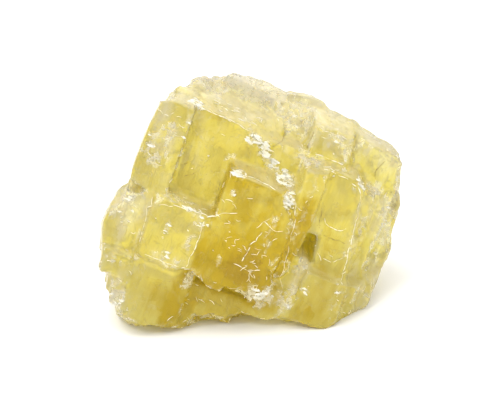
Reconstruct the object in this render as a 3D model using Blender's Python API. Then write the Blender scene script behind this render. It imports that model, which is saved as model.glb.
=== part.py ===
# Calcite: one clear honey-yellow crystal lump, broken along its cleavage into stepped rhombs.
# The shape is worked out in millimetres and scaled to metres at the end. +Z is up, the front
# faces -Y, and the origin is at the middle of the box's underside, on the flat resting face.
import math
import random

import bmesh
import bpy
from mathutils import Matrix, Vector

NAME = "calcite"
MM = 0.001

# Colour of the bulk crystal.
CRYSTAL_COLOUR = (0.83, 0.71, 0.21, 1.0)
CRYSTAL_ROUGHNESS = 0.25

# Every cleavage face follows two of these three edge directions of the crystal.
EDGE_UP = Vector((0.33, 0.19, 0.92)).normalized()
EDGE_RIGHT = Vector((0.905, 0.01, -0.41)).normalized()
EDGE_BACK = Vector((-0.03, 0.99, 0.11)).normalized()

# Upper left front corner of the foremost block, from which all blocks are measured.
CORNER = Vector((-18.2, -15.0, 29.1))

# The broken outer rim, as (across, up, forward) in a frame that is tipped back by TIP and
# stands LIFT above the base. It runs clockwise from the far left point.
TIP = math.radians(25.0)
LIFT = 21.0
TAPER_LENGTH = 417.0
RIM = (
    (-30.4, -6.1, 7.0), (-30.2, -4.1, 7.0), (-29.2, -1.7, 7.5), (-28.0, 0.3, 8.0),
    (-26.4, 2.1, 8.5), (-24.8, 3.5, 9.0), (-24.2, 6.7, 10.0), (-23.2, 9.3, 10.5),
    (-22.0, 12.5, 11.0), (-20.8, 15.5, 11.5), (-19.0, 19.3, 12.0), (-18.0, 20.3, 11.5),
    (-16.6, 20.9, 11.0), (-14.2, 22.1, 9.5), (-12.0, 23.9, 8.0), (-9.2, 25.0, 6.5),
    (-5.6, 25.3, 5.0), (-2.8, 25.9, 4.5), (0.4, 25.1, 4.0), (3.6, 23.7, 4.0),
    (6.0, 22.3, 4.0), (10.0, 21.9, 3.5), (14.4, 20.4, 3.0), (16.6, 19.3, 2.5),
    (18.4, 17.5, 2.0), (21.0, 16.3, 1.5), (22.4, 14.1, 1.5), (25.6, 12.9, 1.0),
    (28.2, 11.3, 0.5), (29.0, 9.7, 0.0), (30.0, 8.1, -0.5), (30.4, 4.7, -1.5),
    (29.6, 1.9, -2.0), (30.2, 0.3, -2.5), (30.0, -2.3, -3.0), (28.8, -5.7, -3.0),
    (28.4, -8.7, -3.0), (27.8, -10.9, -3.0), (26.0, -14.1, -2.5), (25.4, -17.7, -1.5),
    (24.0, -20.7, 0.0), (21.4, -22.7, 1.5), (19.2, -23.3, 2.5), (18.2, -24.7, 5.0),
    (15.6, -25.9, 6.7), (12.2, -25.1, 5.2), (9.4, -24.1, 3.5), (4.0, -23.5, 2.2),
    (-2.0, -22.4, 0.0), (-4.0, -23.1, 1.5), (-7.6, -23.7, 2.5), (-12.0, -23.9, 3.0),
    (-15.2, -24.9, 4.8), (-18.6, -24.3, 3.7), (-22.6, -25.1, 5.2), (-26.2, -23.7, 4.0),
    (-27.6, -20.3, 5.0), (-28.2, -18.1, 5.5), (-29.8, -13.3, 6.5), (-30.4, -8.3, 7.0),
)
RIM_CENTRE = (1.0, -1.0)

# The outer limit of the lump and its solid heart share the rim. Each has its share of the
# rim's size, how far its rim is set back, and its bulge and boxiness to the front and the back.
LIMIT = {"size": 1.0, "set_back": 0.0, "front": (17.0, 4.0), "back": (27.0, 2.8)}
HEART = {"size": 0.98, "set_back": 3.5, "front": (4.0, 3.0), "back": (16.0, 2.2)}
RIM_STEPS = 7

# Cleavage blocks, in millimetres from CORNER along the three edge directions: (up from, up to),
# (right from, right to), (back from, back to). Each may lose corners or edges: a chip names the
# sides that meet there (up, right, back; 0 where it runs along that edge) and its leg lengths.
BLOCKS = {
    "front left": ((-13.0, 0.2), (0.0, 11.3), (0.0, 14.0), ()),
    "upper left": ((-1.0, 17.4), (-6.2, 2.2), (2.2, 16.0), ()),
    "left lobe": ((-15.2, -1.6), (-8.3, 0.4), (3.2, 18.0), (((1, -1, 0), (7.0, 5.0, 0)),)),
    "left step": ((-20.6, -14.1), (-7.2, 0.6), (1.2, 14.5), ()),
    "left heel": ((-34.0, -19.4), (-6.0, 1.1), (3.6, 19.0), ()),
    "left foot": ((-34.0, -12.6), (0.3, 12.5), (1.6, 18.5), (((0, -1, -1), (0, 2.4, 1.3)),)),
    "recess": ((-34.0, -14.6), (12.1, 25.2), (3.7, 20.0), ()),
    "centre": ((-13.3, 10.3), (11.8, 27.2), (-0.5, 16.5), (((1, 1, -1), (6.5, 6.0, 3.0)),)),
    "centre toe": ((-34.0, -9.6), (24.1, 34.4), (2.8, 19.3), (((1, -1, -1), (7.0, 5.0, 3.0)),)),
    "wedge": ((-30.0, -2.6), (26.8, 33.3), (3.9, 17.0), ()),
    "slab": ((-9.0, 15.2), (26.1, 31.4), (0.8, 17.6),
             (((0, 1, -1), (0, 4.4, 2.4)), ((-1, 1, 0), (9.0, 4.2, 0)))),
    "right": ((-4.3, 15.9), (30.1, 42.9), (4.5, 21.0),
              (((1, 1, 0), (22.0, 4.7, 0)), ((-1, -1, 0), (10.1, 6.3, 0)))),
    "right foot": ((-34.0, -3.8), (33.1, 43.1), (1.8, 20.4), (((0, 1, -1), (0, 2.6, 2.2)),)),
    "right heel": ((-34.0, -5.4), (39.0, 47.4), (3.9, 22.5), (((0, 1, -1), (0, 5.6, 5.0)),)),
    "flank near": ((-18.0, 13.4), (36.5, 46.3), (5.4, 22.0), (((0, 1, -1), (0, 6.6, 6.0)),)),
    "flank middle": ((-21.0, 9.8), (40.0, 48.6), (9.3, 24.0), (((0, 1, -1), (0, 5.2, 5.6)),)),
    "flank far": ((-24.0, 14.3), (41.0, 49.4), (13.7, 27.0), (((0, 1, -1), (0, 4.4, 6.2)),)),
    "upper": ((-4.2, 17.2), (2.8, 21.4), (5.0, 16.6),
              (((1, 1, -1), (2.8, 11.5, 9.0)), ((0, 1, -1), (0, 5.2, 2.4)))),
    "ridge": ((0.0, 20.6), (3.1, 19.4), (15.0, 30.0), (((1, -1, 0), (2.6, 6.0, 0)),)),
    "ridge left": ((0.0, 18.7), (-6.0, 4.6), (12.2, 27.0), ()),
    "middle step": ((6.0, 15.6), (20.2, 27.6), (6.6, 15.4), ()),
    "middle rear": ((0.0, 20.0), (19.2, 29.4), (12.3, 28.4), (((1, 0, -1), (3.0, 0, 2.6)),)),
    "shoulder left": ((8.0, 21.2), (26.3, 35.3), (8.0, 23.0), (((1, 1, -1), (3.2, 5.0, 2.6)),)),
    "shoulder right": ((2.0, 20.8), (35.0, 46.9), (10.2, 26.6), (((1, -1, -1), (6.0, 5.0, 3.4)),)),
}

# The sides and the back have blocks that stand out and notches where blocks broke away. Both
# are spread evenly around BACK_CENTRE; sizes, and reaches as shares of the way to the outer
# limit, are picked from these ranges with a fixed seed. None comes nearer to the front than
# its gap, none faces further forward or down than these limits.
BACK_CENTRE = Vector((1.5, 3.0, 22.0))
GOLDEN_ANGLE = math.pi * (3.0 - math.sqrt(5.0))
BACK_BLOCKS = {"count": 84, "seed": 11, "size": (7.0, 15.0), "reach": (0.92, 1.02),
               "gap": (14.0, 19.0), "forward": 0.3, "down": 1.0}
NOTCHES = {"count": 60, "seed": 5, "size": (30.0, 34.0), "reach": (0.80, 0.95),
           "gap": (17.0, 23.0), "forward": 0.2, "down": 0.35}
LEAST_DEPTH = 4.0

# The flat resting face is sawn off by nature at this height; the slab that cuts it is larger.
BASE_HEIGHT = 0.0
SLAB_SIDE = 200.0

# Mesh cleaning limits.
WELD = 0.02
FLAT_ANGLE = math.radians(0.4)


def clear_scene():
    for thing in list(bpy.data.objects):
        bpy.data.objects.remove(thing)


def face_outward(shape):
    bmesh.ops.recalc_face_normals(shape, faces=shape.faces)
    if shape.calc_volume(signed=True) < 0.0:
        bmesh.ops.reverse_faces(shape, faces=shape.faces)


def make_object(name, shape):
    mesh = bpy.data.meshes.new(name)
    face_outward(shape)
    shape.to_mesh(mesh)
    shape.free()
    thing = bpy.data.objects.new(name, mesh)
    bpy.context.scene.collection.objects.link(thing)
    return thing


def make_cutter(name, shape):
    cutter = make_object(name, shape)
    cutter.hide_render = True
    cutter.display_type = "WIRE"
    return cutter


def from_tipped(across, up, forward):
    # From the tipped frame of the rim to the upright one; the lump narrows toward the front.
    taper = 1.0 - forward / TAPER_LENGTH
    across *= taper
    up *= taper
    y = up * math.sin(TIP) - forward * math.cos(TIP)
    z = up * math.cos(TIP) + forward * math.sin(TIP) + LIFT
    return Vector((across, y, z))


def rim_solid(size, set_back, front, back):
    # A sphere whose equator is drawn out to the rim and whose poles face front and back.
    shape = bmesh.new()
    bmesh.ops.create_uvsphere(shape, u_segments=len(RIM), v_segments=2 * RIM_STEPS, radius=1.0)
    for vert in shape.verts:
        pole = max(-1.0, min(1.0, vert.co.z))
        latitude = math.asin(abs(pole))
        depth, boxiness = front if pole > 0 else back
        spread = math.cos(latitude) ** (2.0 / boxiness)
        bulge = math.copysign(depth, pole) * math.sin(latitude) ** (2.0 / boxiness)
        turn = math.atan2(vert.co.y, vert.co.x) / math.tau
        across, up, forward = RIM[round(-turn * len(RIM)) % len(RIM)]
        reach = size * spread
        vert.co = from_tipped(
            RIM_CENTRE[0] + (across - RIM_CENTRE[0]) * reach,
            RIM_CENTRE[1] + (up - RIM_CENTRE[1]) * reach,
            forward * spread ** 2 + bulge - set_back)
    return shape


def crystal_frame():
    # Takes (up, right, back) along the crystal's edges to the upright frame.
    columns = Matrix((EDGE_UP, EDGE_RIGHT, EDGE_BACK)).transposed()
    return Matrix.Translation(CORNER) @ columns.to_4x4()


def chip(shape, ranges, sides, legs):
    # Breaks off a corner, or an edge where one of the sides is 0.
    normal = Vector([side / leg if side else 0.0 for side, leg in zip(sides, legs)])
    point = Vector([span[1] if side > 0 else span[0] for side, span in zip(sides, ranges)])
    first = next(axis for axis in range(3) if sides[axis])
    point[first] -= sides[first] * legs[first]
    geometry = shape.verts[:] + shape.edges[:] + shape.faces[:]
    cut = bmesh.ops.bisect_plane(shape, geom=geometry, plane_co=point, plane_no=normal,
                                 clear_outer=True)
    rim = [item for item in cut["geom_cut"] if isinstance(item, bmesh.types.BMEdge)]
    bmesh.ops.contextual_create(shape, geom=rim)


def block_shape(ranges, chips):
    shape = bmesh.new()
    bmesh.ops.create_cube(shape, size=1.0)
    for vert in shape.verts:
        vert.co = Vector([span[1] if part > 0 else span[0] for part, span in zip(vert.co, ranges)])
    for sides, legs in chips:
        chip(shape, ranges, sides, legs)
    shape.transform(crystal_frame())
    return shape


def reach_along(solid, start, direction):
    hit, place, _, _ = solid.ray_cast(start, direction)
    return (place - start).length if hit else 0.0


def scattered_shapes(limit, inward, count, seed, size, reach, gap, forward, down):
    # Rhombs with a corner near the outer limit, that lie inward or outward of that corner.
    chance = random.Random(seed)
    to_crystal = crystal_frame().inverted()
    for index in range(count):
        height = 1.0 - 2.0 * (index + 0.5) / count
        ring = math.sqrt(1.0 - height * height)
        turn = index * GOLDEN_ANGLE
        outward = Vector((ring * math.cos(turn), ring * math.sin(turn), height))
        sides = [chance.uniform(*size) for _ in range(3)]
        way = chance.uniform(*reach) * reach_along(limit, BACK_CENTRE, outward)
        nearest = chance.uniform(*gap)
        corner = to_crystal @ (BACK_CENTRE + outward * way)
        heading = to_crystal.to_3x3() @ (-outward if inward else outward)
        ranges = [sorted((at, at + math.copysign(side, step)))
                  for at, side, step in zip(corner, sides, heading)]
        ranges[2][0] = max(ranges[2][0], nearest)
        deep = ranges[2][1] - ranges[2][0] > LEAST_DEPTH
        if deep and outward.y > -forward and outward.z > -down:
            yield block_shape(ranges, ())


def combine(thing, operation, cutters):
    group = bpy.data.collections.new(operation.lower())
    for cutter in cutters:
        group.objects.link(cutter)
    boolean = thing.modifiers.new(operation.title(), "BOOLEAN")
    boolean.operation = operation
    boolean.solver = "EXACT"
    boolean.operand_type = "COLLECTION"
    boolean.collection = group


def baked(thing):
    # The mesh as its modifiers leave it.
    graph = bpy.context.evaluated_depsgraph_get()
    return bpy.data.meshes.new_from_object(thing.evaluated_get(graph))


def connected(start):
    seen = {start}
    pending = [start]
    while pending:
        for edge in pending.pop().link_edges:
            for vert in edge.verts:
                if vert not in seen:
                    seen.add(vert)
                    pending.append(vert)
    return seen


def keep_largest(shape):
    # Small closed gaps between the blocks are healed by dropping their walls.
    left = set(shape.verts)
    bodies = []
    while left:
        body = connected(next(iter(left)))
        bodies.append(body)
        left -= body
    largest = max(bodies, key=len)
    spare = [vert for vert in shape.verts if vert not in largest]
    bmesh.ops.delete(shape, geom=spare, context="VERTS")


def tidy(mesh):
    shape = bmesh.new()
    shape.from_mesh(mesh)
    keep_largest(shape)
    bmesh.ops.remove_doubles(shape, verts=shape.verts, dist=WELD)
    bmesh.ops.dissolve_degenerate(shape, edges=shape.edges, dist=WELD)
    bmesh.ops.dissolve_limit(shape, angle_limit=FLAT_ANGLE, verts=shape.verts, edges=shape.edges)
    bmesh.ops.triangulate(shape, faces=shape.faces)
    return shape


def centre_on_base(shape):
    xs = [vert.co.x for vert in shape.verts]
    ys = [vert.co.y for vert in shape.verts]
    zs = [vert.co.z for vert in shape.verts]
    middle = Vector(((min(xs) + max(xs)) / 2, (min(ys) + max(ys)) / 2, min(zs)))
    shape.transform(Matrix.Scale(MM, 4) @ Matrix.Translation(-middle))


def crystal_material():
    material = bpy.data.materials.new("clear yellow calcite")
    material.use_nodes = True
    surface = material.node_tree.nodes["Principled BSDF"]
    surface.inputs["Base Color"].default_value = CRYSTAL_COLOUR
    surface.inputs["Roughness"].default_value = CRYSTAL_ROUGHNESS
    surface.inputs["Metallic"].default_value = 0.0
    return material


def base_slab():
    shape = bmesh.new()
    bmesh.ops.create_cube(shape, size=SLAB_SIDE)
    bmesh.ops.translate(shape, verts=shape.verts, vec=(0, 0, BASE_HEIGHT - SLAB_SIDE / 2))
    return shape


def build():
    clear_scene()
    rough = make_cutter("rough", rim_solid(**HEART))
    limit = make_cutter("outer limit", rim_solid(**LIMIT))
    slab = make_cutter("base slab", base_slab())
    blocks = [make_cutter(name, block_shape((up, right, back), chips))
              for name, (up, right, back, chips) in BLOCKS.items()]
    blocks += [make_cutter("back block", shape)
               for shape in scattered_shapes(limit, True, **BACK_BLOCKS)]
    notches = [make_cutter("notch", shape)
               for shape in scattered_shapes(limit, False, **NOTCHES)]
    combine(rough, "UNION", blocks)
    combine(rough, "INTERSECT", [limit])
    combine(rough, "DIFFERENCE", [slab, *notches])
    shape = tidy(baked(rough))
    for cutter in [rough, limit, slab, *blocks, *notches]:
        bpy.data.objects.remove(cutter)
    centre_on_base(shape)
    calcite = make_object(NAME, shape)
    calcite.data.materials.append(crystal_material())
    return calcite


build()
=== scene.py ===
import math

import bmesh
import bpy
import numpy as np
from mathutils import Matrix, Vector, kdtree, noise


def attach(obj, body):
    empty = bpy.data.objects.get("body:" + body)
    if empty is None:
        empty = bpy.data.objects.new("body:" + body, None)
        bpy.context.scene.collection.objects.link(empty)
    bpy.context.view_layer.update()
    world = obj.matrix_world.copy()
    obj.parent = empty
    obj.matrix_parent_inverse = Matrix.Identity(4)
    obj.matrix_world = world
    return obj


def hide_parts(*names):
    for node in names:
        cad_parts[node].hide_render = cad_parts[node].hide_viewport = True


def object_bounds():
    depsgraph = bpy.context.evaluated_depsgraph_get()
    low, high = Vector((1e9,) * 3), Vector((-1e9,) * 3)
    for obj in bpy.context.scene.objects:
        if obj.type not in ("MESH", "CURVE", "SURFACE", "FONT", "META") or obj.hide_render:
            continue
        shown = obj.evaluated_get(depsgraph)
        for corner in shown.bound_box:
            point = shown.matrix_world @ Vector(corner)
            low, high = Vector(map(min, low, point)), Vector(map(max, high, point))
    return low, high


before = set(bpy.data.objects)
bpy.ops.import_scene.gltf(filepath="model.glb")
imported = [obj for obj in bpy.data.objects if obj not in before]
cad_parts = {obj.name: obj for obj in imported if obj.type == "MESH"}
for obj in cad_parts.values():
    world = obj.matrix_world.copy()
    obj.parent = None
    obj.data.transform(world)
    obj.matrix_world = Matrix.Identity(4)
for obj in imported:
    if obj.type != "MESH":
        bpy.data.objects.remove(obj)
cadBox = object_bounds()
mm = 0.001
print("frame loaded")

# The crystal's own directions, shared by its steps, its grain and its flaws.
lattice = {
    "up": (0.33, 0.19, 0.92),
    "right": (0.905, 0.01, -0.41),
    "back": (-0.03, 0.99, 0.11),
    "corner": (11.81, 3.41, 29.1),  # mm from the low corner of the box to the foremost block
}

# Mesh of the lump. Lengths in mm.
lump = {
    "mergeDistance": 0.001,
    "roughVoxel": 0.45,
    "fineVoxel": 0.4,
    "lowest": -0.1,
    "foot": (0.15, 0.7),  # the carving fades in between these heights over the floor
    "seed": 7,
}
# Times that measures of the surface are evened out with their neighbours.
passes = {"square": 6, "broken": 3, "edges": 2, "normals": 4, "milky": 1}
# What counts as a broken wall and as an edge.
surfaceKinds = {
    "broken": (0.95, 0.88),  # how squarely the surface follows one of the cleavage directions
    "edge": (0.03, 0.08),    # mm that a point stands out from its neighbours
}

# Steps are bricks: two points share one when their face, column, row and layer are the same.
bricks = {
    "layer": 4.0,   # mm
    "perWay": 200,  # more than there are columns, rows or layers
}
# Broken walls are stairs of little cleavage faces: widths along up and across, share of the way.
stairs = (
    {"along": (5.0, 12.0), "across": (2.2, 4.5), "share": 0.75, "limit": 1.3},
    {"along": (2.0, 5.5), "across": (1.0, 2.4), "share": 0.6, "limit": 0.6},
)
# Cleavage faces carry shallow ledges: widths along up and across, and their fall.
ledges = (
    {"along": (9.0, 22.0), "across": (2.5, 7.0), "fall": 0.13},
    {"along": (3.0, 9.0), "across": (1.2, 4.0), "fall": 0.07},
    {"along": (1.0, 3.0), "across": (0.7, 2.2), "fall": 0.035},
)
# Crushed patches are broken into crumbs of the same shape.
crumbs = (
    {"along": (1.2, 3.2), "across": (0.9, 2.2), "fall": 0.18},
    {"along": (0.7, 1.8), "across": (0.5, 1.3), "fall": 0.07},
)
# The pocket beside the right slab is filled up part of the way, towards the depth.
pocket = {
    "centre": (-2.5, 33.2, 7.0),
    "reach": (7.0, 3.4, 5.0),
    "core": 0.5,
    "depth": 5.0,
    "share": 0.85,
}
# Chips struck off along the edges: they fade out from this share of their reach.
edgeChips = {
    "count": 420,
    "reach": (1.2, 3.6),
    "depth": (0.05, 0.38),
    "turn": 0.15,
    "fade": 0.7,
    "struck": (0.01, 0.08),
}
# White splinters on the crushed patches. Lengths in mm, lean in radians.
splinters = {
    "count": 340,
    "length": (0.7, 2.6),
    "width": (0.3, 1.2),
    "thickness": (0.1, 0.24),
    "sides": (4, 7),
    "taper": (0.4, 0.9),
    "lean": 0.24,
    "unevenness": 0.07,
    "sizePower": 0.25,  # where splinters are less likely they are smaller too
}
# White curls, crowded at their spots: centre, reach and share of each. They are fine fractures and
# partly painted glints, where the crystal catches the light.
curlsAndGlints = {
    "count": 260,
    "elsewhere": 0.03,
    "length": (0.5, 1.7),
    "width": (0.06, 0.14),
    "thickness": 0.12,
    "bow": (0.04, 0.2),
    "spread": 0.6,
    "spots": (
        ((4.5, 13.0, -0.5), (4.0, 3.0, 2.0), 0.7),
        ((-0.6, 16.0, -0.5), (3.4, 4.0, 2.0), 1.0),
        ((-3.7, 21.3, -0.5), (3.0, 4.5, 2.0), 0.9),
        ((-7.6, 21.0, -0.5), (2.6, 5.0, 2.0), 1.0),
        ((-5.7, 26.0, -0.5), (2.6, 3.0, 2.0), 0.8),
        ((-19.0, 14.0, 2.5), (5.0, 9.0, 3.0), 0.25),
        ((17.4, 10.0, 9.0), (2.4, 12.0, 6.0), 0.45),
        ((11.0, -2.0, 2.4), (8.0, 4.0, 3.0), 0.4),
        ((16.0, 34.0, 8.0), (6.0, 8.0, 5.0), 0.4),
        ((18.6, 30.0, 8.0), (3.2, 4.0, 3.0), 0.8),
        ((6.0, 28.0, 1.0), (8.0, 2.0, 3.0), 0.5),
    ),
}
# Dark specks of dirt, many of them on the upper block.
specks = {
    "count": 110,
    "elsewhere": 0.03,
    "length": (0.1, 0.6),
    "width": (0.06, 0.12),
    "thickness": 0.1,
    "bow": (0.0, 0.08),
    "spread": 0.8,
    "spots": (
        ((5.6, 9.4, 5.0), (4.0, 4.0, 2.0), 1.0),
        ((12.6, 15.0, 5.0), (3.4, 3.4, 2.0), 0.6),
        ((9.0, -2.0, 2.6), (7.0, 3.6, 3.0), 0.3),
        ((4.0, 32.6, 4.6), (9.0, 1.2, 3.0), 0.8),
        ((-16.0, 7.0, 1.6), (3.0, 7.0, 3.0), 0.5),
        ((16.0, 19.0, 8.0), (2.0, 2.0, 3.0), 0.7),
    ),
}
# Pale and dark lines, through points in mm along the crystal's directions from its corner.
veins = {
    "step": 1.3,
    "stray": 0.1,
    "bow": 0.1,
    "width": (0.055, 0.242),
    "thickness": 0.1,
    "lines": (
        ((-2.0, 0.4, 0.0), (-0.5, 3.7, 0.0), (-0.2, 7.8, 0.0), (0.2, 10.6, 0.4)),
        ((0.2, 10.6, 0.0), (1.8, 13.2, -0.5), (3.3, 15.8, -0.5)),
        ((1.6, 21.9, -0.5), (-2.0, 20.5, -0.5), (-5.6, 19.9, -0.5)),
        ((10.2, 11.8, 0.0), (10.2, 17.1, 0.8), (10.2, 21.3, 0.0)),
        ((3.4, 21.3, -0.5), (2.5, 24.6, -0.5), (3.8, 26.9, -0.5)),
        ((-6.4, 18.5, -0.5), (-6.6, 21.5, -0.5), (-6.1, 23.9, -0.5)),
        ((4.6, 22.1, -0.5), (1.8, 20.4, -0.5)),
        ((-1.0, 10.4, 0.0), (-6.0, 10.4, 0.0), (-11.6, 10.2, 0.0)),
        ((-11.4, 1.6, 0.0), (-11.8, 6.0, 0.0), (-11.6, 10.0, 0.0)),
        ((-1.5, -1.0, 1.5), (-7.0, -1.0, 2.0), (-11.0, -0.8, 1.5)),
        ((9.6, 25.9, 1.7), (0.0, 28.8, 0.5), (-7.8, 30.5, 1.0)),
        ((17.4, 0.6, 5.0), (17.0, 8.0, 5.0), (16.6, 14.0, 5.4)),
        ((15.2, 30.2, 4.4), (15.3, 33.5, 4.5), (14.6, 37.8, 4.5), (12.4, 40.0, 5.0)),
        ((20.0, 26.5, 8.0), (21.2, 29.5, 8.0), (21.2, 33.5, 8.2)),
        ((15.6, 25.3, 7.0), (15.9, 28.5, 8.0), (15.9, 31.5, 8.0), (15.9, 34.7, 8.0)),
        ((11.6, 40.4, 5.0), (3.0, 40.6, 4.6), (-4.6, 41.0, 3.4)),
        ((6.4, 33.4, 4.5), (5.2, 35.0, 4.5), (5.0, 37.0, 4.5), (6.4, 39.4, 4.5)),
        ((-0.4, 34.2, 4.5), (-1.6, 36.0, 4.5), (-1.4, 38.0, 4.5), (0.2, 40.0, 4.5)),
    ),
}
cracks = {
    "step": 0.7,
    "stray": 0.06,
    "bow": 0.04,
    "width": (0.035, 0.154),
    "thickness": 0.16,
    "lines": (
        ((3.2, 4.7, 5.0), (4.7, 6.5, 5.0)),
        ((5.7, 3.8, 5.0), (6.6, 5.0, 5.0)),
        ((14.8, 19.3, 6.4), (15.0, 20.6, 7.4), (15.6, 21.4, 9.4), (15.7, 21.8, 12.0)),
        ((15.7, 26.4, 9.0), (18.0, 26.4, 8.6), (20.0, 26.5, 8.2)),
        ((-3.3, 32.1, 3.9), (-1.0, 32.4, 5.0), (1.6, 33.0, 5.0)),
        ((4.9, 11.7, 5.0), (3.4, 11.9, 4.6)),
        ((2.6, 11.9, 4.2), (1.1, 11.8, 3.5)),
        ((-18.6, 10.9, 1.6), (-19.6, 12.4, 1.6)),
        ((-18.2, 14.0, 3.7), (-18.5, 16.5, 3.7)),
        ((-17.2, 18.0, 3.7), (-17.6, 20.0, 3.7)),
        ((2.9, 34.6, 4.5), (3.0, 37.0, 4.5), (3.3, 39.4, 4.5)),
        ((14.4, 41.8, 10.2), (16.4, 41.4, 10.2), (18.7, 42.4, 10.2)),
        ((8.3, 32.1, 4.5), (5.2, 32.9, 4.5)),
    ),
}
# Curls, specks and lines are all made of little spindles with this many sides.
spindle = {"around": 6, "along": 7}
# Unevenness of the broken walls, of the faces and of the crumbs, which the walls share in part.
wear = {
    "walls": {"scale": 2.6, "depth": 0.16, "octaves": 4, "salt": 3.0},
    "faces": {"scale": 7.0, "depth": 0.16, "octaves": 3, "salt": 6.0},
    "crumbs": {"scale": 0.9, "depth": 0.06, "octaves": 3, "salt": 9.0, "onBroken": 0.5},
}


def latticeMatrix():
    columns = [Vector(lattice[name]).normalized() for name in ("up", "right", "back")]
    return Matrix(columns).transposed()


def latticeCorner():
    low = Vector(cadBox[0])
    return low + Vector(lattice["corner"]) * mm


def addObject(name, data):
    item = bpy.data.objects.new(name, data)
    bpy.context.scene.collection.objects.link(item)
    return item


def addMeshObject(name, shape):
    mesh = bpy.data.meshes.new(name)
    shape.to_mesh(mesh)
    shape.free()
    return addObject(name, mesh)


def mergedCopy(nodeName):
    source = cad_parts[nodeName]
    shape = bmesh.new()
    shape.from_mesh(source.data)
    shape.transform(source.matrix_world)
    bmesh.ops.remove_doubles(shape, verts=shape.verts, dist=lump["mergeDistance"] * mm)
    return addMeshObject("calciteLump", shape)


def remesh(piece, voxel):
    fine = piece.modifiers.new("fine", "REMESH")
    fine.mode = "VOXEL"
    fine.voxel_size = voxel * mm
    fine.use_smooth_shade = True
    graph = bpy.context.evaluated_depsgraph_get()
    mesh = bpy.data.meshes.new_from_object(piece.evaluated_get(graph))
    piece.modifiers.clear()
    piece.data = mesh


def smoothStep(low, high, value):
    share = np.clip((value - low) / (high - low), 0.0, 1.0)
    return share * share * (3.0 - 2.0 * share)


def fractal(points, scale, octaves, salt):
    # Cloudy values around 0; the salt picks another part of the same clouds.
    shift = Vector((salt, salt * 1.7, salt * 2.3))
    fading, finer = 0.9, 2.1
    values = (noise.fractal(Vector(point) / scale + shift, fading, finer, octaves) for point in points)
    return np.fromiter(values, float, len(points))


def readVectors(collection, name):
    flat = np.empty(len(collection) * 3, dtype=np.float32)
    collection.foreach_get(name, flat)
    return flat.reshape(-1, 3).astype(float)


def edgePairs(mesh):
    flat = np.empty(len(mesh.edges) * 2, dtype=np.int32)
    mesh.edges.foreach_get("vertices", flat)
    return flat.reshape(-1, 2)


def neighbourMean(values, pairs):
    total = np.zeros_like(values)
    count = np.zeros(len(values))
    for one, other in ((0, 1), (1, 0)):
        np.add.at(total, pairs[:, one], values[pairs[:, other]])
        np.add.at(count, pairs[:, one], 1.0)
    count = np.maximum(count, 1.0)
    return total / (count[:, None] if values.ndim == 2 else count)


def smoothed(values, pairs, times):
    for _ in range(times):
        values = 0.5 * values + 0.5 * neighbourMean(values, pairs)
    return values


def addAttribute(mesh, name, values):
    layer = mesh.attributes.new(name, "FLOAT", "POINT")
    layer.data.foreach_set("value", values.astype(np.float32))


# All spots are soft: they have their full strength over this share of their reach.
spotCores = {"strongest": 0.35, "summed": 0.2}
# Crushed spots in mm along the crystal's directions from its corner: centre, reach and strength.
crushSpots = (
    ((17.4, 2.4, 5.6), (1.6, 2.6, 3.0), 0.8),      # top left
    ((8.0, 2.6, 3.5), (9.0, 1.2, 2.5), 0.6),       # left wall of the upper block: broken and white, and partly painted light where the wall faces away from the lamps
    ((13.5, 1.3, 2.2), (4.0, 1.4, 2.0), 0.45),
    ((16.0, 6.0, 5.6), (1.0, 5.0, 2.0), 0.4),
    ((7.6, -4.6, 2.2), (4.0, 2.2, 2.5), 0.55),
    ((15.2, 15.6, 5.3), (1.6, 4.0, 2.5), 0.9),     # splintered corner of the upper block
    ((13.6, 18.0, 5.6), (2.6, 2.2, 2.5), 1.0),
    ((11.6, 20.2, 6.4), (1.6, 2.4, 3.0), 0.9),
    ((10.4, 23.6, 5.0), (1.8, 3.4, 4.0), 1.0),     # crushed zone over the middle
    ((8.8, 24.8, 0.8), (3.0, 2.0, 3.0), 1.0),
    ((6.6, 26.6, 0.8), (3.6, 1.3, 3.0), 0.6),
    ((10.2, 13.6, 0.2), (1.0, 2.6, 3.0), 0.8),     # top edge of the centre
    ((6.4, 13.8, -0.5), (1.0, 1.3, 2.0), 0.75),
    ((5.0, 11.0, 0.0), (6.0, 1.0, 3.0), 0.45),
    ((0.3, 5.6, 0.4), (0.9, 5.6, 1.5), 0.9),       # front edge of the left block
    ((-1.2, 10.2, 0.0), (2.4, 2.4, 2.0), 0.5),
    ((-5.5, 4.0, 0.0), (3.2, 1.0, 2.0), 0.7),
    ((-10.4, 6.4, 0.0), (1.4, 5.0, 2.0), 0.65),
    ((-11.0, 25.6, 1.0), (4.4, 7.0, 5.0), 0.75),   # broken foot of the centre
    ((-11.0, 31.4, 2.8), (5.0, 2.4, 3.0), 0.65),
    ((-6.5, 29.6, 1.5), (5.5, 2.0, 3.0), 0.6),
    ((4.0, 47.0, 12.0), (13.0, 3.0, 6.0), 0.5),    # right flank
    ((-7.0, 34.6, 1.8), (3.0, 1.1, 3.0), 0.55),
    ((-5.0, 40.6, 1.9), (3.0, 1.6, 3.0), 0.6),
    ((-9.0, 41.4, 3.0), (5.0, 1.4, 3.0), 0.35),
    ((2.0, 40.2, 4.6), (3.0, 1.4, 3.0), 0.6),
    ((18.0, 24.0, 13.0), (4.0, 5.0, 5.0), 0.4),    # shoulders
    ((20.2, 32.2, 8.2), (1.6, 1.8, 2.0), 0.8),
    ((14.6, 37.6, 6.0), (2.0, 3.0, 3.0), 0.75),
    ((13.4, 42.6, 9.0), (2.4, 2.2, 3.0), 0.6),
    ((-6.0, -4.0, 3.2), (7.0, 3.6, 3.0), 0.5),     # left lobe
    ((-1.6, -3.4, 3.2), (2.0, 2.6, 2.0), 0.7),
    ((-24.0, 0.0, 3.0), (4.0, 3.0, 4.0), 0.6),
    ((-15.6, -3.0, 1.2), (1.4, 4.0, 2.0), 0.4),
)
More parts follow.
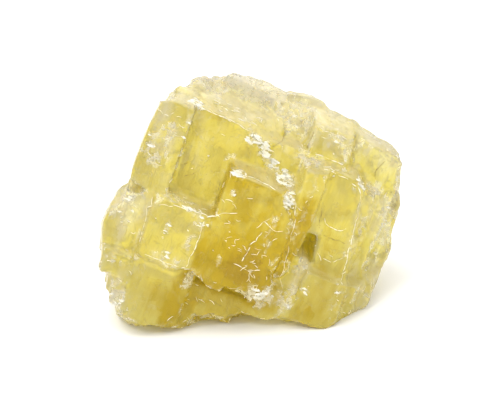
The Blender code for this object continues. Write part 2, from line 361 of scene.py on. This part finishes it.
# Milky without being crushed.
milkySpots = (
    ((20.5, 12.0, 15.0), (4.6, 15.0, 6.5), 1.0),   # ridge, partly milky, partly painted light shining through the thin ridge
    ((9.0, -2.4, 3.0), (9.0, 3.6, 4.0), 0.6),      # beside the upper block
    ((14.0, 27.0, 6.5), (3.0, 5.0, 4.0), 0.6),     # shoulders
    ((20.0, 24.0, 14.0), (4.0, 6.0, 6.0), 0.6),
    ((10.0, 47.0, 13.0), (12.0, 4.0, 8.0), 0.5),
    ((-7.0, 32.0, 2.6), (6.0, 3.0, 3.0), 0.4),     # beside the broken foot
    ((3.0, 23.4, -0.5), (9.0, 1.1, 2.0), 0.5),     # pale bands across the centre
    ((-4.0, 15.6, -0.5), (7.0, 0.8, 2.0), 0.4),
    ((-3.0, 9.0, 0.0), (8.0, 1.8, 2.0), 0.45),
    ((0.5, 4.0, 2.0), (1.2, 8.0, 4.0), 0.5),       # top of the left block
)
# Depth of colour: above 0 is golden, below 0 is pale. The pale spots on the pocket and on the ridge
# are painted light.
tintSpots = (
    ((-4.0, 24.0, 0.0), (11.0, 10.0, 9.0), 0.25),
    ((-7.0, 17.0, 0.0), (9.0, 8.0, 6.0), 0.25),
    # Painted light: this pale spot lightens the pocket, which lies in shade.
    ((-3.0, 33.5, 5.0), (5.5, 3.0, 4.0), -0.25),
    ((-14.0, 36.0, 3.0), (9.0, 7.0, 7.0), 0.2),
    ((-21.0, 7.0, 2.0), (8.0, 8.0, 6.0), 0.25),
    ((0.0, 37.0, 4.5), (13.0, 5.0, 4.0), 0.2),
    # Painted light: the ridge is made pale, as light shining through it would show it.
    ((19.0, 10.0, 16.0), (6.0, 16.0, 10.0), -0.45),
    ((21.0, 25.0, 17.0), (5.0, 8.0, 9.0), -0.3),
    ((19.0, 40.0, 10.0), (7.0, 8.0, 8.0), -0.15),
    ((10.0, 46.0, 12.0), (12.0, 6.0, 9.0), -0.15),
    ((-8.0, 50.0, 12.0), (14.0, 6.0, 9.0), -0.2),
    ((16.0, -5.0, 3.0), (7.0, 4.0, 6.0), -0.2),
    ((-6.0, -4.0, 3.5), (9.0, 5.0, 6.0), -0.25),
    ((-22.0, -1.0, 3.0), (9.0, 4.0, 6.0), -0.2),
    ((-11.0, 6.0, 0.0), (3.0, 7.0, 4.0), -0.15),
    ((-8.0, 32.5, 3.0), (6.0, 3.0, 4.0), -0.2),
    ((11.0, 13.5, 5.0), (7.0, 7.0, 3.0), 0.12),
    ((-5.0, 5.0, 0.0), (6.0, 6.0, 3.0), 0.1),
    ((-9.0, 38.0, 3.0), (8.0, 8.0, 5.0), 0.3),
    ((10.0, -2.0, 3.0), (10.0, 4.2, 5.0), -0.25),
    ((14.0, 27.0, 6.5), (3.4, 5.0, 4.0), -0.2),
    ((2.5, 29.4, 2.0), (9.0, 3.6, 4.0), 0.35),
    ((17.4, 7.0, 7.0), (3.0, 6.0, 5.0), 0.3),
    ((8.0, 48.0, 13.0), (12.0, 6.0, 9.0), -0.22),
    ((11.0, 41.0, 8.0), (6.0, 5.0, 5.0), -0.15),
    ((-6.5, 20.5, -0.5), (6.5, 7.0, 3.0), 0.45),
    ((-1.0, 7.0, -0.5), (9.0, 5.0, 2.0), 0.1),
    ((-4.0, 36.0, 4.0), (8.0, 3.0, 3.0), 0.15),
    ((-1.0, 9.0, 0.0), (6.0, 2.0, 3.0), -0.15),
    ((18.0, 23.5, 13.0), (5.0, 5.0, 6.0), -0.3),
)
# Growth zones with clean borders: low and high corner, softness of the border, and depth of colour.
tintZones = (
    ((-15.0, 10.4, -4.0), (10.5, 31.0, 4.0), 2.6, 0.36),
    ((-30.0, 9.0, -4.0), (-12.0, 27.0, 9.0), 2.6, 0.36),
)


def spotShare(place, centre, reach, core):
    distance = np.linalg.norm((place - np.array(centre)) / np.array(reach), axis=1)
    return 1.0 - smoothStep(core, 1.0, distance)


def strongestSpot(place, spots):
    core = spotCores["strongest"]
    shares = [strength * spotShare(place, centre, reach, core) for centre, reach, strength in spots]
    return np.max(shares, axis=0)


def summedSpots(place, spots):
    core = spotCores["summed"]
    shares = [strength * spotShare(place, centre, reach, core) for centre, reach, strength in spots]
    return np.sum(shares, axis=0)


def summedZones(place, zones):
    total = np.zeros(len(place))
    for low, high, softness, strength in zones:
        inside = np.minimum(place - np.array(low), np.array(high) - place).min(axis=1)
        total += strength * smoothStep(-softness / 2, softness / 2, inside)
    return total


def faceNormals(basis):
    up, right, back = basis.T
    faces = (np.cross(right, back), np.cross(back, up), np.cross(up, right))
    return np.array([face / np.linalg.norm(face) for face in faces])


class Surface:
    # The lump's points as arrays, in mm, with what the carving needs to know of each.
    def __init__(self, mesh):
        self.mesh = mesh
        self.basis = np.array(latticeMatrix())
        self.origin = np.array(latticeCorner()) / mm
        self.points = readVectors(mesh.vertices, "co") / mm
        self.pairs = edgePairs(mesh)
        self.measure()

    def measure(self):
        self.points[:, 2] = np.maximum(self.points[:, 2], lump["lowest"])
        self.mesh.vertices.foreach_set("co", (self.points * mm).astype(np.float32).ravel())
        self.mesh.update()
        self.normals = readVectors(self.mesh.vertex_normals, "vector")
        self.place = (self.points - self.origin) @ np.linalg.inv(self.basis).T
        self.facing = self.normals @ faceNormals(self.basis).T
        self.free = smoothStep(*lump["foot"], self.points[:, 2])

    def evened(self, values, measure):
        return smoothed(values, self.pairs, passes[measure])

    def broken(self):
        square = self.evened(np.abs(self.facing).max(axis=1), "square")
        return self.evened(smoothStep(*surfaceKinds["broken"], square), "broken")

    def edges(self):
        outward = ((self.points - neighbourMean(self.points, self.pairs)) * self.normals).sum(axis=1)
        return smoothStep(*surfaceKinds["edge"], self.evened(outward, "edges"))


def strips(values, widths, random):
    # Number of the strip that each value falls in; the strips have uneven widths.
    margin = 0.5
    reach = values.max() - values.min() + 2 * margin
    count = int(reach / widths[0]) + 2
    bounds = values.min() - margin + np.cumsum(random.uniform(*widths, count))
    return np.searchsorted(bounds, values)


def brickCells(surface, along, across, random):
    # Uneven bricks over each kind of cleavage face, their long side along the crystal's up.
    family = np.abs(surface.facing).argmax(axis=1)
    side = (np.take_along_axis(surface.facing, family[:, None], axis=1)[:, 0] > 0).astype(int)
    cells = np.zeros(len(family), dtype=np.int64)
    perWay = bricks["perWay"]
    for kind, (longWay, shortWay) in enumerate(((1, 2), (0, 2), (0, 1))):
        for which in (0, 1):
            chosen = (family == kind) & (side == which)
            if not chosen.any():
                continue
            place = surface.place[chosen]
            column = strips(place[:, shortWay], across, random)
            shift = random.uniform(0.0, along[1], column.max() + 1)[column]
            row = strips(place[:, longWay] + shift, along, random)
            # A quarter of perWay keeps the layers' numbers above 0.
            layer = np.floor(place[:, kind] / bricks["layer"]).astype(np.int64) + perWay // 4
            cells[chosen] = (((kind * 2 + which) * perWay + column) * perWay + row) * perWay + layer
    _, cells = np.unique(cells, return_inverse=True)
    return cells.ravel(), family


def cutStairs(surface, step, random):
    # Each brick of a broken wall is drawn towards a flat face of its own.
    cells, family = brickCells(surface, step["along"], step["across"], random)
    height = np.take_along_axis(surface.place, family[:, None], axis=1)[:, 0]
    middle = np.bincount(cells, weights=height) / np.bincount(cells)
    move = np.clip((middle[cells] - height) * step["share"], -step["limit"], step["limit"])
    move *= surface.broken() * surface.free
    surface.points += surface.basis.T[family] * move[:, None]
    surface.measure()


def cutLedges(surface, step, random, share=1.0):
    cells, family = brickCells(surface, step["along"], step["across"], random)
    fall = random.uniform(0.0, step["fall"], cells.max() + 1)[cells] * surface.free * share
    surface.points -= surface.normals * fall[:, None]
    surface.measure()


def fillPocket(surface):
    inside = spotShare(surface.place, pocket["centre"], pocket["reach"], pocket["core"]) * surface.free
    move = np.clip(surface.place[:, 2] - pocket["depth"], 0.0, None) * pocket["share"] * inside
    surface.points -= surface.basis.T[2] * move[:, None]
    surface.measure()


def drawStarts(surface, likelihood, count, random):
    chance = likelihood * surface.free
    return random.choice(len(chance), count, p=chance / chance.sum())


def strikeChips(surface, chips, likelihood, random):
    # Each chip is a small flat cut: what stands above its plane, within its reach, is taken off.
    starts = drawStarts(surface, likelihood, chips["count"], random)
    struck = np.zeros(len(surface.points))
    mean = surface.evened(surface.normals, "normals")
    for start in starts:
        reach = random.uniform(*chips["reach"])
        depth = random.uniform(*chips["depth"])
        facing = mean[start] + random.normal(0.0, chips["turn"], 3)
        facing /= np.linalg.norm(facing)
        offset = surface.points - surface.points[start]
        near = np.flatnonzero((np.abs(offset) < reach).all(axis=1))
        above = offset[near] @ facing + depth
        fade = smoothStep(1.0, chips["fade"], np.linalg.norm(offset[near], axis=1) / reach)
        cut = np.clip(above, 0.0, None) * fade * surface.free[near]
        surface.points[near] -= facing * cut[:, None]
        struck[near] = np.maximum(struck[near], smoothStep(*chips["struck"], cut))
    surface.measure()
    return struck


def addSplinters(shape, surface, likelihood, random):
    # White splinters, each a leaning cleavage piece half sunk in the crystal.
    for start in drawStarts(surface, likelihood, splinters["count"], random):
        family = int(np.abs(surface.facing[start]).argmax())
        longWay, shortWay = [way for way in (1, 0, 2) if way != family][:2]
        size = likelihood[start] ** splinters["sizePower"]
        sides = (
            surface.basis.T[longWay] * random.uniform(*splinters["length"]) * size,
            surface.basis.T[shortWay] * random.uniform(*splinters["width"]) * size,
            surface.normals[start] * random.uniform(*splinters["thickness"]),
        )
        plate = Matrix([Vector(side) for side in sides]).transposed()
        angle = random.normal(0.0, splinters["lean"])
        lean = Matrix.Rotation(angle, 3, Vector(random.normal(0.0, 1.0, 3)))
        made = bmesh.ops.create_cone(
            shape,
            cap_ends=True,
            segments=int(random.integers(*splinters["sides"])),
            radius1=0.5,
            radius2=0.5 * random.uniform(*splinters["taper"]),
            depth=1.0,
            matrix=Matrix.Translation(Vector(surface.points[start])) @ (lean @ plate).to_4x4(),
        )["verts"]
        for vertex in made:
            vertex.co += Vector(random.normal(0.0, splinters["unevenness"], 3))


def addSliver(shape, start, end, outward, bow, width, thickness):
    # A spindle from start to end, bowed sideways along the surface. Lengths in mm.
    along = end - start
    side = along.cross(outward).normalized()
    sides = {"u_segments": spindle["around"], "v_segments": spindle["along"]}
    for vertex in bmesh.ops.create_uvsphere(shape, radius=0.5, **sides)["verts"]:
        x, y, z = vertex.co
        sideways = y * width + bow * along.length * (1.0 - 4.0 * z * z)
        vertex.co = (start + end) / 2 + along * z + side * sideways + outward * (x * thickness)


def addMarks(shape, surface, marks, random):
    # Short bowed marks, crowded at their spots.
    likelihood = strongestSpot(surface.place, marks["spots"]) + marks["elsewhere"]
    for start in drawStarts(surface, likelihood, marks["count"], random):
        outward = Vector(surface.normals[start])
        heading = Vector(surface.basis.T[1]) + Vector(random.normal(0.0, marks["spread"], 3))
        heading = (heading - outward * heading.dot(outward)).normalized()
        middle = Vector(surface.points[start])
        half = heading * random.uniform(*marks["length"]) / 2
        bow = random.uniform(*marks["bow"]) * random.choice((-1.0, 1.0))
        width = random.uniform(*marks["width"])
        addSliver(shape, middle - half, middle + half, outward, bow, width, marks["thickness"])


def addLine(shape, surface, tree, line, settings, random):
    # A jagged line over the surface, near the points it is led through.
    points = [Vector(surface.origin + surface.basis @ np.array(point)) for point in line]
    for low, high in zip(points, points[1:]):
        pieces = max(1, round((high - low).length / settings["step"]))
        route = [low.lerp(high, share / pieces) for share in range(pieces + 1)]
        route = [point + Vector(random.normal(0.0, settings["stray"], 3)) for point in route]
        stops = [tree.find(point)[:2] for point in route]
        for (start, number), (end, _) in zip(stops, stops[1:]):
            outward = Vector(surface.normals[number])
            width = random.uniform(*settings["width"])
            if (end - start).length > width:
                bow = random.uniform(-settings["bow"], settings["bow"])
                addSliver(shape, start, end, outward, bow, width, settings["thickness"])


def finishPiece(shape, name):
    for vertex in shape.verts:
        vertex.co.z = max(vertex.co.z, 0.0)
    bmesh.ops.scale(shape, vec=(mm, mm, mm), verts=shape.verts)
    return addMeshObject(name, shape)


def addFlaws(surface, likelihood, random):
    tree = kdtree.KDTree(len(surface.points))
    for number, point in enumerate(surface.points):
        tree.insert(point, number)
    tree.balance()
    white = bmesh.new()
    addSplinters(white, surface, likelihood, random)
    addMarks(white, surface, curlsAndGlints, random)
    for line in veins["lines"]:
        addLine(white, surface, tree, line, veins, random)
    dark = bmesh.new()
    addMarks(dark, surface, specks, random)
    for line in cracks["lines"]:
        addLine(dark, surface, tree, line, cracks, random)
    return finishPiece(white, "calciteSplinters"), finishPiece(dark, "calciteCracks")


def roughen(surface, step, share):
    rise = fractal(surface.place, step["scale"], step["octaves"], step["salt"])
    rise = rise * (step["depth"] * share) * surface.free
    surface.points += surface.normals * rise[:, None]
    surface.measure()


def carve(piece, random):
    # Turns the plain lump into the worn one, and tells how crushed, struck and broken each point is.
    remesh(piece, lump["roughVoxel"])
    surface = Surface(piece.data)
    for step in stairs:
        cutStairs(surface, step, random)
    remesh(piece, lump["fineVoxel"])
    print("fine mesh", len(piece.data.polygons))
    surface = Surface(piece.data)
    fillPocket(surface)
    broken = surface.broken()
    for step in ledges:
        cutLedges(surface, step, random)
    roughen(surface, wear["walls"], broken)
    roughen(surface, wear["faces"], 1.0)
    struck = strikeChips(surface, edgeChips, surface.edges() ** 2, random)
    crush = strongestSpot(surface.place, crushSpots)
    for step in crumbs:
        cutLedges(surface, step, random, crush)
    roughen(surface, wear["crumbs"], np.maximum(crush, wear["crumbs"]["onBroken"] * broken))
    print("lump carved")
    return surface, {"crush": crush, "struck": struck, "broken": broken}


# What makes the crystal milky, golden or splintered, as shares. The shares of the top and of the edges
# are partly painted light: paler where light falls from above and along convex edges.
shades = {
    # The edges' share of milkiness is partly wear, partly a painted highlight along the convex edges.
    "milky": {"crush": 0.75, "struck": 0.35, "edges": 0.8, "broken": 0.25, "top": 0.2},
    "tint": 0.42,
    "topLightTint": -0.15,
    "top": (14.0, 21.0),      # mm along up between which the top begins; above it the crystal is painted paler and milkier, partly as light from above
    "sheenTopFace": (0.75, 0.95),  # how squarely a face looks along up, for the painted sheen of light from above
    "splinters": {"crushPower": 3, "edges": 0.03, "elsewhere": 0.004},
}


def shade(surface, kinds):
    # Writes what the material reads, and gives back the likelihood of splinters.
    # Partly painted light from above: the top is made paler and milkier, besides its milky rim.
    top = smoothStep(*shades["top"], surface.place[:, 0])
    kinds = {**kinds, "edges": surface.edges(), "top": top}
    milky = np.clip(sum(share * kinds[kind] for kind, share in shades["milky"].items()), 0.0, 1.0)
    milky = np.maximum(milky, strongestSpot(surface.place, milkySpots))
    tint = shades["tint"] + shades["topLightTint"] * top
    tint += summedSpots(surface.place, tintSpots) + summedZones(surface.place, tintZones)
    addAttribute(surface.mesh, "milky", surface.evened(milky, "milky"))
    addAttribute(surface.mesh, "tint", tint)
    # Painted sheen: faces that look up are marked, and the material paints them paler, as light from
    # above would show them.
    addAttribute(surface.mesh, "sheenTopFace", smoothStep(*shades["sheenTopFace"], surface.facing[:, 0]))
    likely = shades["splinters"]
    crushed = kinds["crush"] ** likely["crushPower"]
    return crushed + likely["edges"] * kinds["edges"] + likely["elsewhere"]


# Look of the crystal. Colours are linear, sizes are mm along the crystal's up, right and back.
crystalLook = {
    "pale": (0.95, 0.905, 0.64, 1.0),
    "clear": (0.8, 0.715, 0.205, 1.0),
    "honey": (0.56, 0.405, 0.002, 1.0),
    "amber": (0.46, 0.305, 0.001, 1.0),
    "white": (0.99, 0.975, 0.88, 1.0),
    "clearTint": (0.0, 0.5),      # tints over which one colour turns into the next
    "honeyTint": (0.45, 1.0),
    "amberTint": (1.05, 1.5),
    "lineTint": (0.2, 0.85),
    "lineShare": (0.3, 0.1),      # share of fine white lines at those two tints
    "sheenClouds": (0.3, 0.7),
    "topSheenShare": (0.15, 0.6),       # share of painted pale sheen on top faces, as light from above, at those two values of the clouds
    "milkyDepth": (0.34, 0.85),   # milkiness over which the crystal turns white
    "streaks": (0.36, 0.6),
    "veil": (0.6, 1.0),           # share of the white that is left at those values of the streaks
    "transmission": 0.6,
    "ior": 1.6,
    "specular": 0.2,
    "specularTint": (1.0, 0.95, 0.6, 1.0),
    "absorbColour": (0.976, 0.938, 0.04, 1.0),
    "absorbDensity": 118.0,
    "roughness": (0.15, 0.32),    # clear and milky
    "bigFacets": (4.2, 2.8, 3.0),
    "bigFacetTilt": 0.34,
    "smallFacets": (1.3, 0.9, 1.0),
    "smallFacetTilt": 0.26,
    "smallFacetMilk": (0.0, 0.6),
    "smallFacetShare": (0.3, 0.85),  # at those values of the milkiness
    "grainDepth": 0.12,
    "grainShare": 0.6,
    "lineDepth": 0.08,
    "lineRise": 0.8,
}
# Clouded patterns in the crystal: size, detail, roughness and distortion.
patterns = {
    "clouds": ((5.0, 4.0, 4.0), 5.0, 0.6, 0.6),
    "grain": ((7.0, 0.55, 1.2), 5.0, 0.6, 0.2),
    "bands": ((11.0, 2.2, 3.0), 3.0, 0.5, 0.6),
    "blotches": ((1.7, 2.4, 2.0), 5.0, 0.7, 1.0),
    "streaks": ((0.5, 1.5, 0.9), 4.0, 0.7, 0.9),
}
# Fine white lines: size, width, and the threshold above which they show.
fineLines = {"wisps": ((1.6, 2.6, 2.0), 0.03, 0.54), "hairs": ((4.2, 1.2, 1.6), 0.026, 0.55)}
# Each line runs through one clouded pattern, and a larger one lets it show in places.
lineShape = {"line": (2.0, 0.5, 1.4), "gate": (1.0, 0.5, 0.4), "gateSize": 1.3, "gateEdge": 0.06}
# How far patterns shift the tint and the milkiness, both ways: low and high value, and the shift.
shifts = {
    "cloudTint": (0.3, 0.7, 0.08),
    "facetTint": (0.3, 0.7, 0.06),
    "bandTint": (0.35, 0.65, 0.07),
    "blotchMilk": (0.3, 0.7, 0.22),
    "facetMilk": (0.3, 0.7, 0.25),
}
# Looks of the flaws: two colours that run into each other, and a fine grain. Lengths in mm.
flawShares = {"clouds": (0.4, 0.65), "grain": (0.35, 0.65)}
crushedLook = {
    "colours": ((0.995, 0.975, 0.87, 1.0), (0.97, 0.93, 0.72, 1.0)),
    "clouds": ((1.6, 1.2, 1.2), 4.0, 0.6, 0.5),
    "grain": ((0.5, 0.16, 0.3), 3.0, 0.6),
    "grainDepth": 0.03,
    "roughness": (0.25, 0.5),
    "transmission": 0.2,
}
dirtLook = {
    "colours": ((0.1, 0.065, 0.03, 1.0), (0.24, 0.17, 0.07, 1.0)),
    "clouds": ((0.9, 0.7, 0.7), 4.0, 0.6, 0.5),
    "grain": ((0.2, 0.2, 0.2), 3.0, 0.6),
    "grainDepth": 0.05,
    "roughness": (0.55, 0.85),
    "transmission": 0.0,
}


class Nodes:
    # Short ways to add and join shader nodes.
    def __init__(self, material):
        material.use_nodes = True
        self.tree = material.node_tree
        self.surface = self.tree.nodes["Principled BSDF"]
        self.output = self.tree.nodes["Material Output"]

    def join(self, source, socket):
        if isinstance(source, bpy.types.NodeSocket):
            self.tree.links.new(source, socket)
        else:
            socket.default_value = source

    def attribute(self, name):
        item = self.tree.nodes.new("ShaderNodeAttribute")
        item.attribute_name = name
        return item.outputs["Fac"]

    def place(self, size):
        # Object coordinates turned to the crystal's directions and divided by size.
        up = Vector(lattice["up"]).normalized()
        back = up.cross(Vector(lattice["right"])).normalized()
        right = back.cross(up)
        coordinates = self.tree.nodes.new("ShaderNodeTexCoord")
        mapping = self.tree.nodes.new("ShaderNodeMapping")
        mapping.vector_type = "TEXTURE"
        mapping.inputs["Location"].default_value = latticeCorner()
        mapping.inputs["Rotation"].default_value = Matrix((up, right, back)).transposed().to_euler()
        mapping.inputs["Scale"].default_value = [length * mm for length in size]
        self.tree.links.new(coordinates.outputs["Object"], mapping.inputs["Vector"])
        return mapping.outputs["Vector"]

    def noise(self, size, detail=4.0, roughness=0.55, distortion=0.0, output="Fac"):
        item = self.tree.nodes.new("ShaderNodeTexNoise")
        item.inputs["Scale"].default_value = 1.0
        item.inputs["Detail"].default_value = detail
        item.inputs["Roughness"].default_value = roughness
        item.inputs["Distortion"].default_value = distortion
        self.tree.links.new(self.place(size), item.inputs["Vector"])
        return item.outputs[output]

    def shifted(self, source, pattern, shift):
        low, high, most = shifts[shift]
        return self.maths("ADD", source, self.remap(pattern, low, high, (-most, most)))

    def remap(self, source, low, high, to=(0.0, 1.0)):
        item = self.tree.nodes.new("ShaderNodeMapRange")
        item.interpolation_type = "SMOOTHSTEP"
        item.inputs["From Min"].default_value = low
        item.inputs["From Max"].default_value = high
        item.inputs["To Min"].default_value = to[0]
        item.inputs["To Max"].default_value = to[1]
        self.join(source, item.inputs["Value"])
        return item.outputs["Result"]

    def maths(self, operation, first, second=0.0):
        item = self.tree.nodes.new("ShaderNodeMath")
        item.operation = operation
        self.join(first, item.inputs[0])
        self.join(second, item.inputs[1])
        return item.outputs["Value"]

    def vectors(self, operation, first, second):
        item = self.tree.nodes.new("ShaderNodeVectorMath")
        item.operation = operation
        self.join(first, item.inputs[0])
        self.join(second, item.inputs[1])
        return item.outputs["Value" if operation == "DOT_PRODUCT" else "Vector"]

    def mix(self, share, first, second):
        item = self.tree.nodes.new("ShaderNodeMix")
        item.data_type = "RGBA"
        self.join(share, item.inputs[0])
        self.join(first, item.inputs[6])
        self.join(second, item.inputs[7])
        return item.outputs[2]

    def strokes(self, size, width, keep):
        # Short curved lines: where one cloudy pattern crosses its middle and another allows it.
        pattern = self.noise(size, *lineShape["line"])
        offset = self.maths("ABSOLUTE", self.maths("SUBTRACT", pattern, 0.5))
        line = self.remap(offset, width, 0.0)
        allowed = self.noise([length * lineShape["gateSize"] for length in size], *lineShape["gate"])
        return self.maths("MULTIPLY", line, self.remap(allowed, keep, keep + lineShape["gateEdge"]))

    def blocks(self, size):
        # Little tilted blocks with uneven borders: the height over each, and a colour of its own.
        half = (0.5, 0.5, 0.5)
        colours = self.noise(size, detail=3.0, roughness=0.6, output="Color")
        place = self.vectors("ADD", self.place(size), self.vectors("SUBTRACT", colours, half))
        cells = self.tree.nodes.new("ShaderNodeTexVoronoi")
        cells.distance = "CHEBYCHEV"
        cells.inputs["Scale"].default_value = 1.0
        self.tree.links.new(place, cells.inputs["Vector"])
        offset = self.vectors("SUBTRACT", place, cells.outputs["Position"])
        tilt = self.vectors("SUBTRACT", cells.outputs["Color"], half)
        return self.vectors("DOT_PRODUCT", offset, tilt), cells.outputs["Color"]

    def bump(self, height, distance, strength=1.0, under=None):
        item = self.tree.nodes.new("ShaderNodeBump")
        item.inputs["Distance"].default_value = distance * mm
        self.join(strength, item.inputs["Strength"])
        self.join(height, item.inputs["Height"])
        if under is not None:
            self.join(under, item.inputs["Normal"])
        return item.outputs["Normal"]


def crystalColour(nodes, tint, clouds):
    look = crystalLook
    colour = nodes.mix(nodes.remap(tint, *look["clearTint"]), look["pale"], look["clear"])
    colour = nodes.mix(nodes.remap(tint, *look["honeyTint"]), colour, look["honey"])
    colour = nodes.mix(nodes.remap(tint, *look["amberTint"]), colour, look["amber"])
    # Painted sheen: top faces turn pale in cloudy patches, as light falling from above would show
    # them.
    topSheenShare = nodes.remap(clouds, *look["sheenClouds"], look["topSheenShare"])
    sheenShare = nodes.maths("MULTIPLY", nodes.attribute("sheenTopFace"), topSheenShare)
    return nodes.mix(sheenShare, colour, look["pale"])


def crystalWhite(nodes, tint, milky, smallColour, lines):
    # Share of white: milky patches under a streaky veil, and fine lines.
    look = crystalLook
    depth = nodes.shifted(milky, nodes.noise(*patterns["blotches"]), "blotchMilk")
    depth = nodes.shifted(depth, smallColour, "facetMilk")
    veil = nodes.remap(nodes.noise(*patterns["streaks"]), *look["streaks"], look["veil"])
    milkyShare = nodes.maths("MULTIPLY", nodes.remap(depth, *look["milkyDepth"]), veil)
    lineShare = nodes.remap(tint, *look["lineTint"], look["lineShare"])
    return nodes.maths("MAXIMUM", milkyShare, nodes.maths("MULTIPLY", lines, lineShare))


def crystalNormal(nodes, milky, bigHeight, smallHeight, lines):
    look = crystalLook
    normal = nodes.bump(bigHeight, look["bigFacetTilt"])
    smallShare = nodes.remap(milky, *look["smallFacetMilk"], look["smallFacetShare"])
    normal = nodes.bump(smallHeight, look["smallFacetTilt"], smallShare, normal)
    grain = nodes.noise(*patterns["grain"])
    normal = nodes.bump(grain, look["grainDepth"], look["grainShare"], normal)
    return nodes.bump(lines, look["lineDepth"], look["lineRise"], normal)


def crystalMaterial():
    look = crystalLook
    material = bpy.data.materials.new("clearYellowCalcite")
    nodes = Nodes(material)
    surface = nodes.surface.inputs
    milky = nodes.attribute("milky")
    clouds = nodes.noise(*patterns["clouds"])
    lines = nodes.maths("MAXIMUM", *(nodes.strokes(*kind) for kind in fineLines.values()))
    bigHeight, bigColour = nodes.blocks(look["bigFacets"])
    smallHeight, smallColour = nodes.blocks(look["smallFacets"])

    tint = nodes.shifted(nodes.attribute("tint"), clouds, "cloudTint")
    tint = nodes.shifted(tint, bigColour, "facetTint")
    tint = nodes.shifted(tint, nodes.noise(*patterns["bands"]), "bandTint")
    white = crystalWhite(nodes, tint, milky, smallColour, lines)
    colour = nodes.mix(white, crystalColour(nodes, tint, clouds), look["white"])
    nodes.join(colour, surface["Base Color"])
    nodes.join(nodes.remap(white, 0.0, 1.0, look["roughness"]), surface["Roughness"])
    normal = crystalNormal(nodes, milky, bigHeight, smallHeight, lines)
    nodes.join(normal, surface["Normal"])

    surface["Transmission Weight"].default_value = look["transmission"]
    surface["IOR"].default_value = look["ior"]
    surface["Specular IOR Level"].default_value = look["specular"]
    surface["Specular Tint"].default_value = look["specularTint"]
    absorb = nodes.tree.nodes.new("ShaderNodeVolumeAbsorption")
    absorb.inputs["Color"].default_value = look["absorbColour"]
    absorb.inputs["Density"].default_value = look["absorbDensity"]
    nodes.join(absorb.outputs["Volume"], nodes.output.inputs["Volume"])
    return material


def flawMaterial(name, look):
    material = bpy.data.materials.new(name)
    nodes = Nodes(material)
    surface = nodes.surface.inputs
    clouds = nodes.remap(nodes.noise(*look["clouds"]), *flawShares["clouds"])
    nodes.join(nodes.mix(clouds, *look["colours"]), surface["Base Color"])
    grain = nodes.noise(*look["grain"])
    roughness = nodes.remap(grain, *flawShares["grain"], look["roughness"])
    nodes.join(roughness, surface["Roughness"])
    nodes.join(nodes.bump(grain, look["grainDepth"]), surface["Normal"])
    surface["IOR"].default_value = crystalLook["ior"]
    surface["Transmission Weight"].default_value = look["transmission"]
    return material


dice = np.random.default_rng(lump["seed"])
lumpPiece = mergedCopy("calcite")
lumpSurface, lumpKinds = carve(lumpPiece, dice)
splinterPiece, crackPiece = addFlaws(lumpSurface, shade(lumpSurface, lumpKinds), dice)
splinterPiece.data.materials.append(flawMaterial("crushedCalcite", crushedLook))
crackPiece.data.materials.append(flawMaterial("crackDirt", dirtLook))
for flawPiece in (splinterPiece, crackPiece):
    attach(flawPiece, "root")
lumpPiece.data.materials.clear()
lumpPiece.data.materials.append(crystalMaterial())
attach(lumpPiece, "root")
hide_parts("calcite")
print("crystal dressed")

# Studio: floor, lights and camera.
studio = {
    "floorSide": 6.0,
    "floorColour": (0.96, 0.96, 0.96, 1.0),
    "floorRoughness": 0.6,
    "skyStrength": 1.02,
    "lamps": {  # place, size and power
        "key": ((-0.16, -0.04, 0.6), 0.4, 1.8),
        "glint": ((-0.26, -0.34, 0.5), 0.11, 0.8),
        "rim": ((0.12, 0.42, 0.36), 0.3, 0.55),
    },
    "lens": 150.0,
    "sensor": 36.0,
    "distance": 0.417,
    "clipStart": 0.01,
    "tip": math.radians(25.0),
    "aim": (29.71, 18.41, 21.0),  # mm from the low corner of the box
}


def addFloor():
    shape = bmesh.new()
    bmesh.ops.create_grid(shape, x_segments=1, y_segments=1, size=studio["floorSide"] / 2)
    floor = addMeshObject("paleFloor", shape)
    material = bpy.data.materials.new("paleFloor")
    material.use_nodes = True
    surface = material.node_tree.nodes["Principled BSDF"].inputs
    surface["Base Color"].default_value = studio["floorColour"]
    surface["Roughness"].default_value = studio["floorRoughness"]
    floor.data.materials.append(material)


def addSky():
    sky = bpy.data.worlds.new("softSky")
    bpy.context.scene.world = sky
    sky.use_nodes = True
    backdrop = sky.node_tree.nodes["Background"]
    backdrop.inputs["Color"].default_value = (1.0, 1.0, 1.0, 1.0)
    backdrop.inputs["Strength"].default_value = studio["skyStrength"]


def addLamps():
    for name, (place, size, power) in studio["lamps"].items():
        lamp = bpy.data.lights.new(name, "AREA")
        lamp.size = size
        lamp.energy = power
        light = addObject(name, lamp)
        light.location = place
        light.rotation_euler = (-Vector(place)).to_track_quat("-Z", "Y").to_euler()


def addCamera():
    tip = studio["tip"]
    aim = Vector(cadBox[0]) + Vector(studio["aim"]) * mm
    view = bpy.data.cameras.new("camera")
    view.lens = studio["lens"]
    view.sensor_width = studio["sensor"]
    view.clip_start = studio["clipStart"]
    view.dof.use_dof = False
    camera = addObject("camera", view)
    camera.location = aim + Vector((0.0, -math.cos(tip), math.sin(tip))) * studio["distance"]
    camera.rotation_euler = (math.pi / 2 - tip, 0.0, 0.0)
    bpy.context.scene.camera = camera


addFloor()
addSky()
addLamps()
addCamera()
bpy.context.scene.view_settings.view_transform = "Standard"
print("studio ready")
